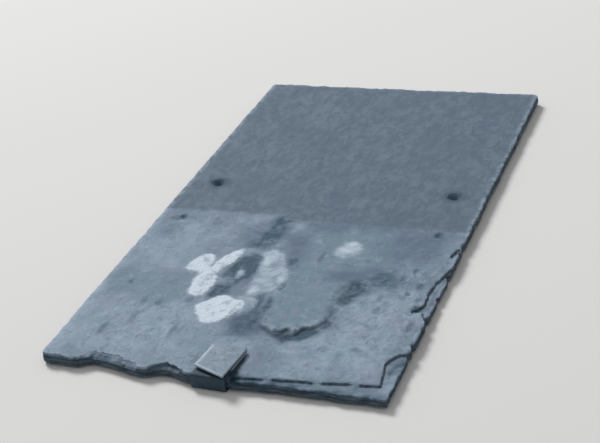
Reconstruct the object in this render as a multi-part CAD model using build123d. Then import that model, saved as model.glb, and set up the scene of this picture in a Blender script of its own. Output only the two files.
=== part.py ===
from build123d import *
import math
import os

# A roofing slate lying on its bed, face up, with the folded metal clip on its tail.
# X runs across the slate, Y from the tail up to the head, Z is up. Millimetres.
# Places on the slate are measured from its left side and its tail, and the finished
# solids are then moved so that the origin is under the middle of the whole part.

# Slate size
slate_length = 508.0
slate_width = 254.0
slate_thickness = 8.0

# Dressed edge: each knife strike breaks a bevel of its own width along the face
dressing_width = 2.4
dressing_depth = 3.2
strike_variation = 0.35
strike_rhythm = 1.9

# Sides and head: short dressed runs that wander in and out
side_run_count = 13
side_wander = 1.4
head_run_count = 7
head_wander = 1.6
right_head_cut = 6.0
left_head_cut = 4.2

# Left half of the tail: broken back, with a chip near the corner
left_corner_round = 7.0
left_corner_inset = 2.1
left_tail_setback = 11.0
left_chip_start = 30.0
left_chip_rise = 5.5
left_chip_near_width = 8.0
left_chip_far_width = 24.0
left_break_end = 6.0

# Breaks between the chip and the clip: share of that run, and distance from the tail
left_breaks = (
    (0.11, 8.5), (0.22, 7.6), (0.33, 6.2), (0.45, 9.5), (0.55, 11.5), (0.66, 11.0), (0.77, 9.0),
)

# Right half of the tail
middle_tail_setback = 5.0
right_tail_setback = 3.0
right_tail_start = 4.0
right_corner_cut = 4.0
right_corner_inset = 1.0

# Breaks of the right half: share of its run, and distance from the tail
right_breaks = ((0.27, 4.2), (0.41, 3.2), (0.60, 2.7), (0.70, 1.4), (0.84, 1.8))

# Layer step: the top layer is split off along the right half of the tail
layer_step_depth = 1.6
layer_step_start = 1.5
layer_step_low = 9.5
layer_step_high = 15.0
layer_step_side_width = 10.0
layer_step_side_rise = 41.8
layer_step_side_bulge = 3.8
layer_step_side_end = 56.0

# Breaks of the layer step: share of its run across, and share of its rise
layer_step_breaks = ((0.20, 0.08), (0.43, 0.32), (0.60, 0.38), (0.80, 0.90), (0.88, 0.80))

# Second step, at the right corner below the first one
corner_step_depth = 0.9
corner_step_width = 9.2
corner_step_low = 9.0
corner_step_high = 47.4

# Spalled flake on the right side: deepest at its upper end, running out at its lower one
flake_start = 99.0
flake_length = 82.0
flake_width = 7.5
flake_hook_width = 14.8
flake_hook_rise = 13.8
flake_neck_rise = 24.0
flake_shoulder_rise = 57.5
flake_shoulder_width = 5.5
flake_depth = 2.4

# Scallop under the raised patch: deepest along its toothed upper edge
scallop_left = 141.0
scallop_width = 44.0
scallop_foot_width = 26.0
scallop_bottom = 46.0
scallop_top = 73.0
scallop_lean = 14.0
scallop_depth = 1.6
scallop_tooth = 3.5
scallop_teeth = 5

# Nail holes: punched from the bed, so the face side is spalled into a countersink
gauge = 229.0
nail_row_clearance = 13.0
nail_side_distance = 27.0
nail_hole_diameter = 4.5
nail_spall_diameter = 15.0
nail_spall_depth = 4.0

# Tail clip: soft metal strip that passes under the slate and is doubled over on its face.
# It is turned to lie square to the tail, and its lengths run along it from its middle there.
clip_thickness = 1.5
clip_width = 25.4
clip_middle = 129.5
clip_turn = 4.5
clip_tail_gap = 0.1
clip_bend_radius = 0.6
clip_fold_distance = 39.0
clip_fold_gap = 0.5
clip_lift = 1.5
clip_end_left = 10.8
clip_end_right = 1.2
clip_back_length = 110.0
clip_nail_distance = 12.0
clip_nail_diameter = 4.5

# Places worked out from the sizes above
bed_height = clip_thickness
face_height = bed_height + slate_thickness
clip_left = clip_middle - clip_width / 2
clip_right = clip_middle + clip_width / 2
clip_tail_rise = math.tan(math.radians(clip_turn)) * clip_width / 2
lap = slate_length - 2 * gauge
nail_row = gauge + lap + nail_row_clearance
flake_end = flake_start + flake_length
over_cut = 5.0
outside = slate_width + over_cut


def wandering_run(start, end, count, wander, inward, phase):
    """Points between two corners that lie a little inside the straight line, by a sine rule."""
    points = []
    for step in range(1, count):
        share = step / count
        inset = wander * (0.5 + 0.5 * math.sin(phase + 2.3 * step))
        points.append((
            start[0] + (end[0] - start[0]) * share + inward[0] * inset,
            start[1] + (end[1] - start[1]) * share + inward[1] * inset,
        ))
    return points


def left_tail():
    """The broken line from the rounded left corner to the clip."""
    chip_peak = left_chip_start + left_chip_near_width
    chip_end = chip_peak + left_chip_far_width
    run = clip_left - chip_end
    points = [
        (0.0, left_tail_setback + left_corner_round),
        (left_corner_inset, left_tail_setback + left_corner_inset),
        (left_corner_round, left_tail_setback),
        (left_chip_start, left_tail_setback),
        (chip_peak, left_tail_setback + left_chip_rise),
        (chip_end, left_tail_setback),
    ]
    points += [(chip_end + run * share, setback) for share, setback in left_breaks]
    points.append((clip_left - left_break_end, middle_tail_setback + clip_tail_rise))
    return points


def right_tail():
    """The line from the clip to the right corner."""
    start = clip_right + right_tail_start
    run = slate_width - right_corner_inset - start
    points = [(start, right_tail_setback)]
    points += [(start + run * share, setback) for share, setback in right_breaks]
    points.append((slate_width - right_corner_inset, 0.0))
    return points


def slate_outline():
    """The dressed outline, anticlockwise from the foot of the right side."""
    right_foot = (slate_width, right_corner_cut)
    right_top = (slate_width, slate_length - right_head_cut)
    right_head = (slate_width - right_head_cut, slate_length)
    left_head = (left_head_cut, slate_length)
    left_top = (0.0, slate_length - left_head_cut)
    left_foot = (0.0, left_tail_setback + left_corner_round)
    points = [right_foot]
    points += wandering_run(right_foot, right_top, side_run_count, side_wander, (-1, 0), 0.4)
    points += [right_top, right_head]
    points += wandering_run(right_head, left_head, head_run_count, head_wander, (0, -1), 1.1)
    points += [left_head, left_top]
    points += wandering_run(left_top, left_foot, side_run_count, side_wander, (1, 0), 2.0)
    points += left_tail()
    points.append((clip_left, middle_tail_setback + clip_tail_rise))
    points.append((clip_right, middle_tail_setback - clip_tail_rise))
    points += right_tail()
    return points


def struck_outline(points):
    """The outline moved in at each corner by the width of the knife strike there."""
    moved = []
    for order, point in enumerate(points):
        here = Vector(*point)
        into = (here - Vector(*points[order - 1])).normalized()
        out = (Vector(*points[(order + 1) % len(points)]) - here).normalized()
        square_into = Vector(-into.Y, into.X)
        inward = (square_into + Vector(-out.Y, out.X)).normalized()
        width = dressing_width * (1 + strike_variation * math.sin(strike_rhythm * order))
        moved.append(here + inward * (width / inward.dot(square_into)))
    return moved


def prism(points, low, high):
    """A closed outline, made solid from one height to another."""
    face = make_face(Polyline(*points, close=True))
    return Pos(0, 0, low) * extrude(face, high - low)


def dressed_slab():
    """The slab: square below, and struck back to a bevel of uneven width along its face."""
    outline = slate_outline()
    shoulder = face_height - dressing_depth
    low_edge = Pos(0, 0, shoulder) * Polyline(*outline, close=True)
    face_edge = Pos(0, 0, face_height) * Polyline(*struck_outline(outline), close=True)
    bevel = loft([make_face(low_edge), make_face(face_edge)], ruled=True)
    return prism(outline, bed_height, shoulder) + bevel


def wedge(points, foot, reach, depth):
    """An outline cut down to a sloping floor: no depth at its foot, and the full depth at its reach."""
    outline = prism(points, face_height - depth - over_cut, face_height + over_cut)
    slope = math.degrees(math.atan2(depth, reach))
    block = Box(
        slate_width * 2, reach * 3, over_cut * 4,
        align=(Align.MIN, Align.CENTER, Align.MIN),
    )
    return outline & Pos(0, foot, face_height) * Rot(-slope, 0, 0) * block


def layer_step_cutter():
    """The part of the top layer that is missing along the tail's right half and corner."""
    step_left = clip_right + layer_step_start
    step_right = slate_width - layer_step_side_width
    run = step_right - step_left
    rise = layer_step_high - layer_step_low
    points = [(step_left, -over_cut), (step_left, layer_step_low)]
    points += [
        (step_left + run * across, layer_step_low + rise * up) for across, up in layer_step_breaks
    ]
    points += [
        (step_right, layer_step_high),
        (step_right - layer_step_side_bulge, layer_step_side_rise),
        (step_right, (layer_step_side_rise + layer_step_side_end) / 2),
        (slate_width, layer_step_side_end),
        (outside, layer_step_side_end),
        (outside, -over_cut),
    ]
    return prism(points, face_height - layer_step_depth, face_height + over_cut)


def corner_step_cutter():
    """The second lost layer at the right corner, inside the first one."""
    middle = (corner_step_low + corner_step_high) / 2
    near_side = slate_width - corner_step_width / 2
    points = [
        (outside, corner_step_low),
        (near_side, (corner_step_low + middle) / 2),
        (slate_width - corner_step_width, middle),
        (near_side, (corner_step_high + middle) / 2 + dressing_width),
        (slate_width, corner_step_high),
        (outside, corner_step_high),
    ]
    depth = layer_step_depth + corner_step_depth
    return prism(points, face_height - depth, face_height + over_cut)


def flake_cutter():
    """The spall along the right side, with the hooked crack at its lower end."""
    points = [
        (outside, flake_start),
        (slate_width - flake_hook_width, flake_start + flake_hook_rise),
        (slate_width - flake_width, flake_start + flake_neck_rise),
        (slate_width - flake_shoulder_width, flake_start + flake_shoulder_rise),
        (slate_width, flake_end),
        (outside, flake_end),
    ]
    return wedge(points, flake_start, flake_length, flake_depth)


def scallop_cutter():
    """The hollow under the raised patch, with its toothed edge curving up to the right."""
    foot_left = scallop_left + (scallop_width - scallop_foot_width) / 2
    pitch = scallop_width / scallop_teeth
    points = []
    for tooth in range(scallop_teeth + 1):
        edge = scallop_top + scallop_lean * (tooth / scallop_teeth) ** 3
        points.append((scallop_left + pitch * tooth, edge))
        if tooth < scallop_teeth:
            valley = scallop_top + scallop_lean * ((tooth + 0.5) / scallop_teeth) ** 3
            points.append((scallop_left + pitch * (tooth + 0.5), valley - scallop_tooth))
    points.append((foot_left + scallop_foot_width, scallop_bottom))
    points.append((foot_left, scallop_bottom))
    reach = scallop_top + scallop_lean - scallop_bottom
    return wedge(points, scallop_bottom, reach, scallop_depth)


def nail_hole_cutter(across):
    """A nail hole: a plain bore from the bed and the spalled cone on the face."""
    bore = Cylinder(
        nail_hole_diameter / 2, slate_thickness + 2 * over_cut,
        align=(Align.CENTER, Align.CENTER, Align.MIN),
    )
    spall = Cone(
        nail_hole_diameter / 2, nail_spall_diameter / 2, nail_spall_depth,
        align=(Align.CENTER, Align.CENTER, Align.MAX),
    )
    bore = Pos(across, nail_row, bed_height - over_cut) * bore
    spall = Pos(across, nail_row, face_height) * spall
    return bore + spall


def make_slate():
    """The stone: the dressed slab less its lost layers and the two nail holes."""
    body = dressed_slab()
    body -= layer_step_cutter()
    body -= corner_step_cutter()
    body -= flake_cutter()
    body -= scallop_cutter()
    body -= nail_hole_cutter(nail_side_distance)
    body -= nail_hole_cutter(slate_width - nail_side_distance)
    return body


def clip_section():
    """The strip seen from the side, as a band of even thickness: Y along it, Z up."""
    half = clip_thickness / 2
    web = middle_tail_setback - clip_tail_gap - clip_bend_radius - half
    under = bed_height - half
    over = face_height + half
    fold_pitch = clip_thickness + clip_fold_gap
    bend = clip_bend_radius + half
    fold_radius = fold_pitch / 2 * 0.96
    centre_line = FilletPolyline(
        (clip_back_length, under),
        (web, under),
        (web, over),
        (clip_fold_distance, over),
        (clip_fold_distance, over + fold_pitch),
        (-over_cut, over + fold_pitch + clip_lift),
        radius=[bend, bend, fold_radius, fold_radius],
    )
    return trace(centre_line, line_width=clip_thickness)


def make_tail_clip():
    """The folded strip, with its free end snipped at a slant and its nail hole."""
    half_width = clip_width / 2
    strip = Plane.YZ.location * extrude(clip_section(), half_width, both=True)
    snip_low = face_height + clip_thickness + clip_fold_gap / 2
    snip_high = face_height + 4 * over_cut
    below = -3 * over_cut
    snip_points = [
        (-half_width - over_cut, below),
        (-half_width - over_cut, clip_end_left),
        (-half_width, clip_end_left),
        (half_width, clip_end_right),
        (half_width + over_cut, clip_end_right),
        (half_width + over_cut, below),
    ]
    nail = Cylinder(clip_nail_diameter / 2, clip_thickness * 4)
    nail = Pos(0, clip_back_length - clip_nail_distance, 0) * nail
    clip = strip - prism(snip_points, snip_low, snip_high) - nail
    turned = Pos(0, -middle_tail_setback, 0) * clip
    return Pos(clip_middle, middle_tail_setback, 0) * Rot(0, 0, -clip_turn) * turned


parts = {
    "slate": make_slate(),
    "tail_clip": make_tail_clip(),
}

os.makedirs("parts", exist_ok=True)
for name, solid in parts.items():
    placed = Pos(-slate_width / 2, -slate_length / 2, 0) * solid
    export_step(placed, "parts/" + name + ".step")
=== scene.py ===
"""Looks of a weathered roofing slate with a folded metal clip on its tail.

Surfaces are worked out in millimetres in the slate's own terms: x from its left side,
y from its tail up to its head, z up from its bed. place() puts them in the frame.
"""

import math

import bpy
import numpy as np
from bpy.props import FloatProperty, FloatVectorProperty, PointerProperty
from bpy.types import Operator, Panel, PropertyGroup
from mathutils import Matrix, Vector


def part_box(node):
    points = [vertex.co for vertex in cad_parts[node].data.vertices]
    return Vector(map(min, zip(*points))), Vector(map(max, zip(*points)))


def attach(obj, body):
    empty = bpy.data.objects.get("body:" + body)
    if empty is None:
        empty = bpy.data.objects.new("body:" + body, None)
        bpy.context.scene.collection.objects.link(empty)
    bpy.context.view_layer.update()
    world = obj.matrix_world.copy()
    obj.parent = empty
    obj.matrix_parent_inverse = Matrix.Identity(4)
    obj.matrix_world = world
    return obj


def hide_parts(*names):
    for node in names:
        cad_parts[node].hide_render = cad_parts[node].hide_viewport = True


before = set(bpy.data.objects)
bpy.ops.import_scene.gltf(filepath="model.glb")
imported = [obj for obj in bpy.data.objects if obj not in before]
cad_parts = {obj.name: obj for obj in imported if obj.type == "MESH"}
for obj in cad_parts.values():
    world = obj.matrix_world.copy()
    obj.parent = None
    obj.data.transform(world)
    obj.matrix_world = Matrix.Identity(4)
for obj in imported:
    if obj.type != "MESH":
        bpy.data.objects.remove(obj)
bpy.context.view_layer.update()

bl_info = {
    "name": "Weathered roofing slate",
    "version": (1, 0, 0),
    "blender": (4, 5, 0),
    "location": "View3D > Sidebar > Slate",
    "description": "A riven roofing slate with lichen and a folded tail clip",
    "category": "Add Mesh",
}

MM = 0.001
slate_low, slate_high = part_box("slate")
WIDTH = (slate_high[0] - slate_low[0]) / MM
LENGTH = (slate_high[1] - slate_low[1]) / MM
THICKNESS = (slate_high[2] - slate_low[2]) / MM

# Outline of the slate: corners, and the tail line as distances across and up
LEFT_CORNER_ROUND = 7.0
RIGHT_CORNER_ROUND = 3.0
HEAD_CORNER_ROUND = 6.0
TAIL_LINE = (
    (0, 11.5), (30, 11), (38, 16.2), (50, 14.2), (62, 11), (68, 8.5), (74, 7.6), (80, 6.4),
    (87, 9.5), (92, 11.5), (98, 11), (104, 9), (111, 6), (117, 6), (142, 4), (147, 3),
    (175, 4.2), (190, 3.2), (210, 2.7), (221, 1.4), (236, 1.8), (254, 0),
)

# Wider chips along the tail: middle, half length, width and 1 for a square step, 0 for a slope
TAIL_CHIPS = ((50, 17, 4.6, 0.0), (70, 7, 2.6, 0.0), (95, 13, 2.2, 1.0))

# Bites in the right side: distance from the tail, depth and half length
SIDE_BITES = ((57, 1.6, 2.6), (69, 2.2, 2.4), (104, 2.6, 3), (136, 1.8, 2.4), (168, 2, 3.4), (214, 1.4, 4))

# Outlines of lost stone on the face, as points across and up
TAIL_LOSS = (
    (144, -12), (144, 8.8), (152.6, 9.3), (165, 10.3), (172.5, 10.4), (188, 11.4), (200, 12),
    (205, 12.4), (215, 14), (225, 15.2), (230, 14.6), (244.4, 15.6), (244, 21), (241.9, 31.3),
    (240.2, 41.8), (242.5, 47.8), (246.1, 54.4), (252.7, 57), (266, 57.5), (266, -12),
)
CORNER_LOSS = (
    (266, 47.4), (252.6, 47.4), (248.3, 43.8), (245.9, 37.5), (245, 31.8), (247, 26),
    (250.5, 32), (254, 38), (266, 40),
)
SIDE_FLAKE = (
    (266, 183), (254, 181), (251.5, 174), (248, 160), (246, 148), (245.2, 134), (246.4, 123.3),
    (244.8, 118.5), (239.2, 112.8), (241, 108.6), (247, 112), (250, 104), (266, 96),
)
SIDE_SLIT = ((251.8, 207), (249.6, 205.5), (246.8, 194), (249.2, 193), (251.6, 199))

# Places across where the edge of the tail's lost layer fades out
TAIL_BRIDGES = (168.8, 202.6, 227.6)

# Smooth raised patch, whose toothed lower rim stands over a hollow
RAISED_PATCH = (
    (141, 76), (144, 73.5), (147.5, 73), (150.5, 69.5), (152.5, 69), (154.5, 70), (158, 70.5),
    (160.5, 74), (163, 73.5), (165.5, 69.5), (167.8, 67.5), (169.5, 70), (171.5, 75.5), (174, 77.5),
    (177, 77), (180, 80.5), (183, 86), (184.5, 94), (184.3, 105), (182, 114), (180.4, 123),
    (180.6, 132), (183, 142), (194, 158), (203, 176), (208, 200), (206, 225), (196, 242),
    (140, 242), (137, 214), (139, 186), (136, 150), (138, 116), (137, 88),
)
SIDE_HOLLOW = (
    (186, 113), (192, 113), (196, 128), (204, 133), (214, 139), (214, 152), (207, 166), (200, 152),
    (190, 147), (184, 136), (183, 124),
)

# Reliefs: how far the riven face lies below the solid's, and what steps up from it or into it
FACE_DROP = 0.35
PATCH_STEP = 0.55
SIDE_HOLLOW_DEPTH = 0.4
SLIT_DEPTH = 1.6
WHITE_LICHEN_HEIGHT = 0.55
GREY_LICHEN_HEIGHT = 0.2

# Default of the dressing width: the setting's ratio to it scales the struck bevel
DRESSING_WIDTH = 2.4

# Nail holes, as in the solid
NAIL_ROW = 292.0
NAIL_INSET = 27.0
NAIL_RADIUS = 2.25
SPALL_RADIUS = 7.5
SPALL_DEPTH = 4.0

# The metal strip, as in the solid: it is turned clockwise about its middle at the tail
STRIP_MIDDLE = (129.5, 5.0)
STRIP_TURN = math.radians(4.5)
STRIP_WIDTH = 25.4
STRIP_THICKNESS = 1.5
STRIP_WEB = 3.55
STRIP_FOLD = 39.0
STRIP_FOLD_GAP = 0.5
STRIP_LIFT = 1.5
STRIP_TIP = -5.0
STRIP_BACK = 110.0
STRIP_NAIL = 98.0
STRIP_END_LEFT = 10.8
STRIP_END_RIGHT = 1.2

# Top of the part that stays uncovered on a roof
EXPOSED_LEFT = 240.0
EXPOSED_RIGHT = 232.0
EXPOSED_JOINT = 104.0

# Crusts on the face, as outlines
WHITE_LICHEN = (
    ((55.5, 148), (58, 144.5), (64, 143), (69, 143.5), (69, 132), (71, 120), (72, 111), (76, 107.5),
     (82, 108), (85.5, 114), (86, 126), (85, 136), (82, 141.5), (83, 147), (87, 154), (89.5, 164),
     (91.5, 176), (90, 182), (87, 181), (81, 173), (77.5, 163), (76, 152), (74, 151), (74, 160),
     (72, 168.5), (67, 171), (61, 167), (57.5, 157)),
    ((84, 94), (91, 103), (98.5, 112), (105, 111), (110, 106), (117, 106.5), (120, 103),
     (119.5, 93), (115.5, 84), (109.5, 75.5), (104, 71), (96.5, 73), (90, 84)),
)
GREY_LICHEN = (
    ((108.5, 180), (113, 183), (119, 182), (124, 176), (128, 167), (130.5, 157), (135.5, 151),
     (138, 142), (137.5, 133), (134, 125), (128.5, 119), (123, 113.5), (117.5, 115), (115.5, 122),
     (115, 134), (113.5, 148), (111.5, 164)),
    ((111, 111), (119, 112), (126, 110), (127.5, 101), (124, 93), (118, 86), (112, 90)),
    ((160, 189), (162.5, 182), (168.5, 179.5), (175, 182), (179.5, 189), (180, 197), (176, 204),
     (170, 206), (164, 202), (161, 196)),
    ((98.2, 152), (100.4, 151), (102, 144), (101.6, 138.5), (99.5, 138.6), (98, 146)),
)

# Soft regions of the face: strength, softness of the rim and outline
# Dark stains with painted shade among them: the dark hollow under the raised patch's lower rim and up its
# right side is painted shadow, and the streak down from the head is partly painted shadow, partly stain
DAMP_AND_SHADE = (
    (0.90, 6, ((97, 254), (118, 254), (114, 236), (113, 222), (113, 208), (111, 196), (107, 184),
               (96, 182), (91, 192), (93, 204), (98, 218), (99, 236))),
    (0.95, 4, ((95, 184), (91, 168), (90, 157), (87, 150), (87, 140), (87, 126), (87, 113), (90, 104),
               (97, 106), (99, 112), (101, 122), (106, 132), (112, 140), (112, 148), (109, 170))),
    (0.95, 2.5, ((124, 119), (129, 120), (132.5, 106), (132.5, 92), (128, 88), (124, 100))),
    (0.85, 2.5, ((134, 116), (138.5, 112), (140, 100), (138, 92), (134, 97))),
    (0.70, 8, ((122, 96), (138, 100), (140, 78), (138, 66), (126, 64), (119, 70), (120, 82))),
    (1.00, 3, ((142, 74), (147, 72.5), (151, 68), (155, 68), (160, 74), (165, 69), (168, 68), (173, 77),
               (180, 80), (186, 94), (187, 82), (184, 70), (174, 61), (164, 55), (159, 58), (152, 65))),
    (0.85, 3, ((182, 84), (181, 97), (182, 109), (186.5, 109), (187, 99), (190, 86), (187, 78), (180, 71))),
    (1.00, 4, ((186, 115), (192, 113), (196, 118), (197, 130), (201, 141), (197, 149), (190, 148),
               (185, 141), (182.5, 131), (183, 122))),
    (0.70, 7, ((196, 126), (204, 134), (220, 143), (219, 152), (212, 169), (202, 166), (196, 152))),
    (0.75, 4, ((144, 9), (166, 9), (184, 9), (202, 10), (206, 3), (184, 0), (144, -2))),
    (0.20, 4, ((203, 12), (226, 15), (246, 16), (246, 8), (226, 6), (203, 4))),
    (0.60, 3, ((242, 7), (248, 8), (248, 2), (242, 1))),
    (0.45, 3, ((242, 45), (247, 55), (254, 58), (256, 40), (249, 36), (246, 29), (243, 35))),
)
VIOLET = (
    (0.95, 8, ((112, 74), (118, 94), (138, 98), (142, 74), (141, 58), (132, 57), (118, 62))),
    (0.75, 15, ((196, 238), (232, 238), (246, 222), (242, 196), (226, 178), (206, 174), (196, 192))),
    (0.75, 8, ((10, 216), (24, 216), (26, 200), (18, 192), (10, 200))),
    (0.85, 8, ((111, 214), (128, 214), (135, 198), (140, 178), (136, 158), (128, 166), (122, 188))),
    (0.75, 10, ((122, 244), (215, 244), (212, 222), (180, 225), (150, 215), (130, 220))),
    (0.85, 8, ((164, 156), (180, 162), (198, 170), (208, 160), (198, 146), (180, 140), (168, 146))),
    (0.70, 5, ((103, 144), (113, 142), (113, 118), (103, 116))),
    (0.60, 10, ((80, 224), (98, 226), (98, 190), (86, 186), (78, 204))),
)
GREEN = (
    (0.90, 4, ((5, 126), (22, 136.5), (50, 137.5), (67, 138), (69, 122), (69, 104), (60, 94), (50, 84),
               (44, 92), (32, 100), (16, 108), (7, 116))),
    (1.00, 4, ((139, 78), (150, 74), (168, 74), (180, 84), (184, 96), (184, 108), (180, 122), (183, 142),
               (192, 156), (204, 176), (208, 200), (206, 222), (190, 230), (150, 230), (136, 214),
               (138, 186), (136, 150), (139, 118), (137, 90))),
    (0.70, 9, ((222, 204), (242, 200), (246, 170), (236, 156), (224, 178))),
    (0.60, 8, ((145, 40), (170, 44), (178, 30), (166, 14), (150, 12))),
    (0.50, 9, ((88, 70), (112, 60), (116, 40), (100, 34), (84, 50))),
)
# Lighter regions; the first, along the left edge, is a painted highlight where that edge is lit
BLEACH_AND_HIGHLIGHT = (
    (1.00, 7, ((-10, 16), (12, 14), (13, 78), (3, 120), (-10, 150))),
    (0.80, 14, ((0, 30), (108, 14), (108, 50), (84, 98), (20, 92))),
    (0.60, 12, ((0, 142), (54, 144), (56, 186), (38, 226), (8, 214))),
    (1.00, 9, ((176, 16), (236, 20), (236, 60), (250, 108), (238, 134), (208, 132), (198, 108), (198, 76),
               (164, 46))),
    (0.80, 5, ((236, 228), (252, 218), (252, 184), (243, 186))),
    (0.80, 4, ((116, 50), (140, 52), (140, 42), (116, 42))),
    (0.80, 3, ((248, 166), (254, 166), (253, 136), (249, 138))),
    (0.90, 4, ((247, 32), (254, 32), (254, 6), (246, 8))),
    (0.60, 2.5, ((109, 181), (115, 183), (121, 178), (121, 167), (117, 157), (112, 162))),
    (0.90, 2, ((134, 149), (138, 144), (139.5, 139), (137, 132), (132, 137), (131, 144))),
    (0.80, 2, ((115, 129), (119, 130), (121, 120), (119, 114), (115, 117))),
    (1.00, 3, ((162, 198), (168, 205), (175, 203), (177, 193), (170, 186), (163, 190))),
)
ROUGH = (
    (1.00, 8, ((190, 60), (252, 60), (250, 156), (216, 140), (196, 120), (190, 90))),
    (0.70, 12, ((16, 26), (105, 20), (100, 70), (80, 100), (30, 96))),
    (0.80, 8, ((216, 136), (250, 140), (250, 206), (226, 206), (214, 170))),
    (0.60, 8, ((150, 20), (240, 20), (240, 56), (150, 50))),
)
# Darkest regions: the first is the painted shadow of the clip on the face to its right, the second painted
# shadow in the hollow under the raised patch's lower rim; the others darken the dark arc beside the patch
# and the dark centre between the lichens
DIRT_AND_SHADOW = (
    (1.00, 1.6, ((141, 45), (143.4, 40), (146.5, 27), (148.5, 15), (151, 6), (149, -3), (138, -3))),
    (0.72, 4, ((145, 73), (151, 67), (160, 74), (168, 68), (174, 76), (171, 64), (163, 56), (153, 65))),
    (0.45, 5, ((184, 114), (190, 114), (195, 121), (196, 130), (195, 142), (189, 141), (185, 130))),
    (0.75, 3, ((186.5, 131), (187, 121), (191, 119), (193.5, 124), (193, 131), (189.5, 134))),
    (0.30, 4, ((92, 160), (96, 158), (97, 146), (93, 140), (90, 148))),
    (0.20, 5, ((97, 170), (106, 172), (108, 158), (104, 150), (99, 156))),
    (0.30, 5, ((89, 126), (97, 128), (100, 116), (93, 108), (88, 114))),
)
# Faint crusts; the last, the light rim up the patch's right side, is painted highlight as well as crust
FAINT_CRUST_AND_HIGHLIGHT = (
    (0.60, 3, ((162, 220), (161.5, 230), (166, 232), (169.5, 230), (169, 220))),
    (0.60, 2.4, ((139.5, 196), (140, 208), (143, 209), (144.5, 204), (143.5, 196))),
    (0.90, 3, ((85, 140), (92, 140.5), (95.5, 136), (92.5, 130.5), (85, 130))),
    (0.90, 3, ((91, 184), (98, 184), (99, 174), (93, 170))),
    (0.70, 1.5, ((36.4, 24), (38, 26.6), (40.4, 24.6), (38.2, 22.4))),
    (0.50, 3, ((216, 176), (216.5, 186), (221, 186), (222, 178))),
    (0.80, 2.5, ((176, 132), (181, 131), (183, 120), (187, 113), (186, 109), (181, 109), (176, 120))),
)

# Seeds of the noise that frays the crusts and the soft regions
WHITE_LICHEN_SEED = 81
GREY_LICHEN_SEED = 85
STAIN_SEED = 161
VIOLET_SEED = 165
GREEN_SEED = 171
BLEACH_SEED = 181
ROUGH_SEED = 191

# Stands for a signed distance where an outline doesn't count
OUTSIDE = -9.0

# Small dark marks: across, up, half width, half length, strength and depth
MARKS = (
    (21.5, 228, 3.2, 4.4, 1.0, 1.6), (16, 225, 5, 4, 0.6, 0.1), (230.5, 226, 3.4, 4, 1.0, 1.3),
    (24, 121, 3.2, 3.2, 0.6, 0.5), (30, 52, 2.4, 8, 0.5, 0.1), (46, 70, 2.6, 9, 0.5, 0.15),
    (82, 57, 2.2, 9, 0.55, 0.15), (57, 94, 3, 5, 0.5, 0.2), (77, 101, 3, 4, 0.5, 0.2),
    (44, 96, 3, 5, 0.4, 0.1), (242, 116, 4.4, 4, 0.95, 0.4), (134, 168, 3, 6, 0.7, 0.1),
    (138, 130, 2.4, 5, 0.9, 0.4), (153, 178, 2, 9, 0.5, 0.1), (240, 128, 2.2, 2.6, 0.6, 0.4),
    (231, 134, 2.2, 2.6, 0.6, 0.4), (215, 109, 2.6, 5, 0.6, 0.3), (194, 53, 3.4, 4, 0.35, 0.1),
    (216, 55, 4, 3.4, 0.3, 0.1), (228, 168, 2.4, 4, 0.5, 0.2), (213, 126, 2.2, 5, 0.4, 0.1),
    (237, 146, 3, 5, 0.5, 0.2), (222, 155, 2.4, 5, 0.5, 0.2), (244, 92, 2.4, 7, 0.5, 0.2),
)


def ease(low, high, value):
    """0 below low, 1 above high, and a smooth S between them."""
    share = np.clip((value - low) / (high - low), 0.0, 1.0)
    return share * share * (3.0 - 2.0 * share)


def lattice_noise(x, y, seed):
    """Gradient noise: a hashed slope at each whole-number corner, blended by a quintic ease."""
    column = np.floor(x).astype(np.int64)
    row = np.floor(y).astype(np.int64)
    across = x - column
    along = y - row

    def corner(step_x, step_y):
        key = (column + step_x) * 374761393 + (row + step_y) * 668265263 + seed * 144269504
        key = (key ^ (key >> 13)) * 1274126177 & 0xFFFFFFFF
        angle = (key ^ (key >> 16)) % 65536 * (2 * math.pi / 65536)
        return np.cos(angle) * (across - step_x) + np.sin(angle) * (along - step_y)

    blend_x = across**3 * (across * (across * 6 - 15) + 10)
    blend_y = along**3 * (along * (along * 6 - 15) + 10)
    low = corner(0, 0) * (1 - blend_x) + corner(1, 0) * blend_x
    high = corner(0, 1) * (1 - blend_x) + corner(1, 1) * blend_x
    return (low * (1 - blend_y) + high * blend_y) * 1.5


def cloud(x, y, size, octaves, seed, gain=0.5):
    """Fractal noise about -1 to 1: octaves of lattice noise, each half the size of the last."""
    total = 0.0
    weight = 1.0
    whole = 0.0
    for octave in range(octaves):
        scale = 2.0**octave / size
        total = total + weight * lattice_noise(x * scale + 7.3 * octave, y * scale, seed + octave)
        whole += weight
        weight *= gain
    return total / whole


def terraces(field, count, softness):
    """Steps like split layers: whole levels of the field, joined by a short smooth rise."""
    level = field * count
    floor = np.floor(level)
    return (floor + ease(1.0 - softness, 1.0, level - floor)) / count


def outline_distance(x, y, outline):
    """Signed distance to a closed outline, positive inside: the nearest point of any edge.

    A place is inside where a line from it towards +x crosses an odd number of edges.
    """
    nearest = np.full(x.shape, np.inf)
    inside = np.zeros(x.shape, dtype=bool)
    for (start_x, start_y), (end_x, end_y) in zip(outline, outline[1:] + outline[:1]):
        run_x = end_x - start_x
        run_y = end_y - start_y
        share = ((x - start_x) * run_x + (y - start_y) * run_y) / (run_x**2 + run_y**2)
        share = np.clip(share, 0.0, 1.0)
        away = np.hypot(x - start_x - share * run_x, y - start_y - share * run_y)
        nearest = np.minimum(nearest, away)
        crossing = start_x + (y - start_y) * run_x / (run_y or 1.0)
        inside ^= ((start_y > y) != (end_y > y)) & (x < crossing)
    return np.where(inside, nearest, -nearest)


def rounded(outline):
    """The same outline with each corner cut off at a quarter of its sides."""
    corners = np.array(outline)
    ahead = np.roll(corners, -1, axis=0)
    cut = np.stack([corners * 0.75 + ahead * 0.25, corners * 0.25 + ahead * 0.75], axis=1)
    return tuple(map(tuple, cut.reshape(-1, 2)))


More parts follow.
